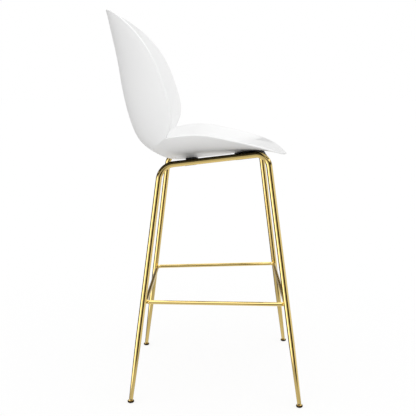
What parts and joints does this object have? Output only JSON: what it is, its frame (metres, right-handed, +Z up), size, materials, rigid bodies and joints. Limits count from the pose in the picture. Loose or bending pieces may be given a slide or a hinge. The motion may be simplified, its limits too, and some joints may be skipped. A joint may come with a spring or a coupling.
{
  "type": "bar stool",
  "caption": "Bar stool with a one-piece moulded seat-and-back shell on two bent tube hoops, a bent-rod footrest ring and tilting glides.",
  "frame": {"origin": "on the floor, under the middle of the stool's plan", "axes": "+Z up, -Y the way the sitter faces, +X to the right of someone who faces the stool; left and right in the names are that person's"},
  "size_m": [0.5662, 0.5888, 1.1799],
  "materials": {
    "shell_plastic": "white moulded plastic with a soft satin sheen",
    "brass_plate": "polished, warm yellow, clear lacquered",
    "black_steel": "black powder coat, satin",
    "black_rubber": "matt black",
    "zinc_steel": "bright zinc plate",
    "insert_brass": "turned"
  },
  "bodies": {
    "stool": {"seat_shell": "shell_plastic", "footrest_ring": "brass_plate", "rear_cross_bar": "black_steel", "front_cross_plate": "black_steel", "left_side_hoop": "brass_plate", "right_side_hoop": "brass_plate", "rear_left_spacer_pad": "black_rubber", "rear_right_spacer_pad": "black_rubber", "front_left_spacer_pad": "black_rubber", "front_right_spacer_pad": "black_rubber", "rear_left_insert": "insert_brass", "rear_right_insert": "insert_brass", "front_left_insert": "insert_brass", "front_right_insert": "insert_brass", "rear_left_screw": "zinc_steel", "rear_right_screw": "zinc_steel", "front_left_screw": "zinc_steel", "front_right_screw": "zinc_steel", "rear_left_glide_stud": "zinc_steel", "rear_right_glide_stud": "zinc_steel", "front_left_glide_stud": "zinc_steel", "front_right_glide_stud": "zinc_steel", "rear_left_leg_plug": "black_rubber", "rear_right_leg_plug": "black_rubber", "front_left_leg_plug": "black_rubber", "front_right_leg_plug": "black_rubber"},
    "rear_left_glide": {"rear_left_glide_cap": "brass_plate", "rear_left_glide_pad": "black_rubber"},
    "rear_right_glide": {"rear_right_glide_cap": "brass_plate", "rear_right_glide_pad": "black_rubber"},
    "front_left_glide": {"front_left_glide_cap": "brass_plate", "front_left_glide_pad": "black_rubber"},
    "front_right_glide": {"front_right_glide_cap": "brass_plate", "front_right_glide_pad": "black_rubber"}
  },
  "joints": [
    {"name": "rear_left_glide_tilt", "type": "hinge", "parent": "stool", "child": "rear_left_glide", "pos_m": [-0.238, 0.22538, 0.0063], "axis": [0.8693, 0.4943, 0], "range_deg": [-2, 20]},
    {"name": "rear_right_glide_tilt", "type": "hinge", "parent": "stool", "child": "rear_right_glide", "pos_m": [0.238, 0.22538, 0.0063], "axis": [0.8693, -0.4943, 0], "range_deg": [-2, 20]},
    {"name": "front_left_glide_tilt", "type": "hinge", "parent": "stool", "child": "front_left_glide", "pos_m": [-0.273, -0.28412, 0.0063], "axis": [-0.8046, 0.5938, 0], "range_deg": [-2, 20]},
    {"name": "front_right_glide_tilt", "type": "hinge", "parent": "stool", "child": "front_right_glide", "pos_m": [0.273, -0.28412, 0.0063], "axis": [-0.8046, -0.5938, 0], "range_deg": [-2, 20]}
  ]
}
